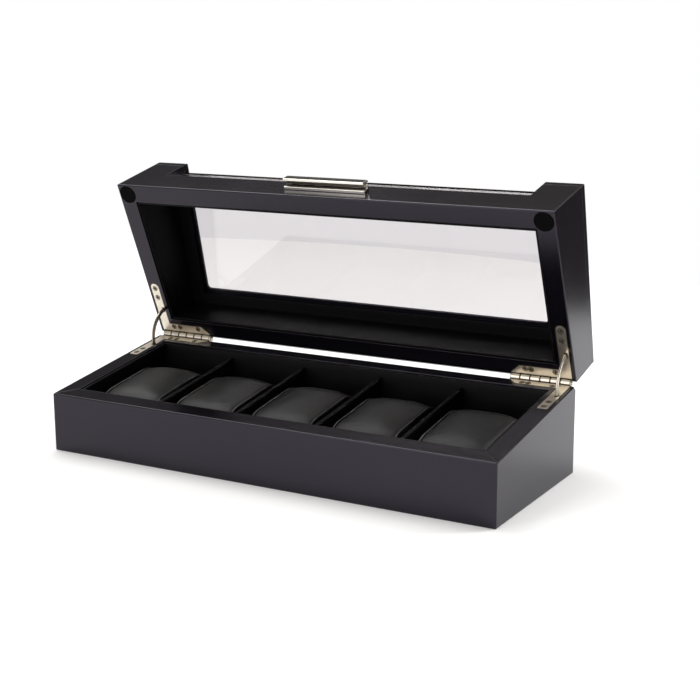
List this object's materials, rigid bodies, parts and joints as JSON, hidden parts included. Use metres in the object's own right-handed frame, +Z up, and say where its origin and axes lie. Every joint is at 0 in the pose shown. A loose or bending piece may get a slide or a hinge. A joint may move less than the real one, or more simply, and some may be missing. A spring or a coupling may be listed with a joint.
{
  "type": "watch display box",
  "caption": "Long low display box with a sloping rim, cushioned places in its base and a glazed lid on hinges with curved stays.",
  "frame": {"origin": "centre of the underside, where the box rests", "axes": "+X to the box's right along its length, +Y to the rear where the hinges are, +Z up"},
  "size_m": [0.308, 0.1451, 0.1746],
  "materials": {
    "lacquer": "black lacquer with a satin shine",
    "leatherette": "fine-grained black leatherette over thin board",
    "cushion_leatherette": "soft black leatherette over foam",
    "fibreboard": "raw fibreboard, hidden under the felt",
    "felt": "short black felt",
    "glass": "clear float glass with ground edges",
    "pad_rubber": "matte black rubber",
    "pull_metal": "fine-brushed nickel plate",
    "pull_steel": "zinc-plated steel",
    "polished_nickel": "polished nickel plate",
    "screw_nickel": "nickel-plated steel"
  },
  "bodies": {
    "base": {"base_front_wall": "lacquer", "base_rear_wall": "lacquer", "base_left_wall": "lacquer", "base_right_wall": "lacquer", "base_bottom_panel": "fibreboard", "underside_felt": "felt", "base_floor_liner": "leatherette", "base_front_liner": "leatherette", "base_rear_liner": "leatherette", "base_left_liner": "leatherette", "base_right_liner": "leatherette", "divider_1": "leatherette", "divider_2": "leatherette", "divider_3": "leatherette", "divider_4": "leatherette", "left_hinge_base_leaf": "polished_nickel", "left_hinge_pin": "polished_nickel", "left_base_leaf_screws": "screw_nickel", "right_hinge_base_leaf": "polished_nickel", "right_hinge_pin": "polished_nickel", "right_base_leaf_screws": "screw_nickel"},
    "lid": {"lid_front_wall": "lacquer", "lid_rear_wall": "lacquer", "lid_left_wall": "lacquer", "lid_right_wall": "lacquer", "lid_top_frame": "lacquer", "lid_front_liner": "leatherette", "lid_rear_liner": "leatherette", "lid_left_liner": "leatherette", "lid_right_liner": "leatherette", "lid_window_liner": "leatherette", "top_glass": "glass", "front_glass": "glass", "bumper_pad_left": "pad_rubber", "bumper_pad_right": "pad_rubber", "pull_bar": "pull_metal", "pull_screws": "pull_steel", "left_hinge_lid_leaf": "polished_nickel", "left_lid_leaf_screws": "screw_nickel", "right_hinge_lid_leaf": "polished_nickel", "right_lid_leaf_screws": "screw_nickel"},
    "left_stay": {"left_stay": "polished_nickel"},
    "right_stay": {"right_stay": "polished_nickel"},
    "cushion_1": {"cushion_1": "cushion_leatherette"},
    "cushion_2": {"cushion_2": "cushion_leatherette"},
    "cushion_3": {"cushion_3": "cushion_leatherette"},
    "cushion_4": {"cushion_4": "cushion_leatherette"},
    "cushion_5": {"cushion_5": "cushion_leatherette"}
  },
  "joints": [
    {"name": "lid_hinge", "type": "hinge", "parent": "base", "child": "lid", "pos_m": [0, 0.0579, 0.05536], "axis": [-1, 0, 0], "range_deg": [-76.6, 0]},
    {"name": "left_stay_swing", "type": "hinge", "parent": "base", "child": "left_stay", "pos_m": [0, 0.0579, 0.05536], "axis": [-1, 0, 0], "range_deg": [-38.3, 0]},
    {"name": "right_stay_swing", "type": "hinge", "parent": "base", "child": "right_stay", "pos_m": [0, 0.0579, 0.05536], "axis": [-1, 0, 0], "range_deg": [-38.3, 0]},
    {"name": "cushion_1_lift", "type": "slide", "parent": "base", "child": "cushion_1", "axis": [0, 0, 1], "range_m": [0, 0.07]},
    {"name": "cushion_2_lift", "type": "slide", "parent": "base", "child": "cushion_2", "axis": [0, 0, 1], "range_m": [0, 0.07]},
    {"name": "cushion_3_lift", "type": "slide", "parent": "base", "child": "cushion_3", "axis": [0, 0, 1], "range_m": [0, 0.07]},
    {"name": "cushion_4_lift", "type": "slide", "parent": "base", "child": "cushion_4", "axis": [0, 0, 1], "range_m": [0, 0.07]},
    {"name": "cushion_5_lift", "type": "slide", "parent": "base", "child": "cushion_5", "axis": [0, 0, 1], "range_m": [0, 0.07]}
  ],
  "couplings": [
    {"joint": "left_stay_swing", "follows": "lid_hinge", "ratio": 0.5},
    {"joint": "right_stay_swing", "follows": "lid_hinge", "ratio": 0.5}
  ]
}
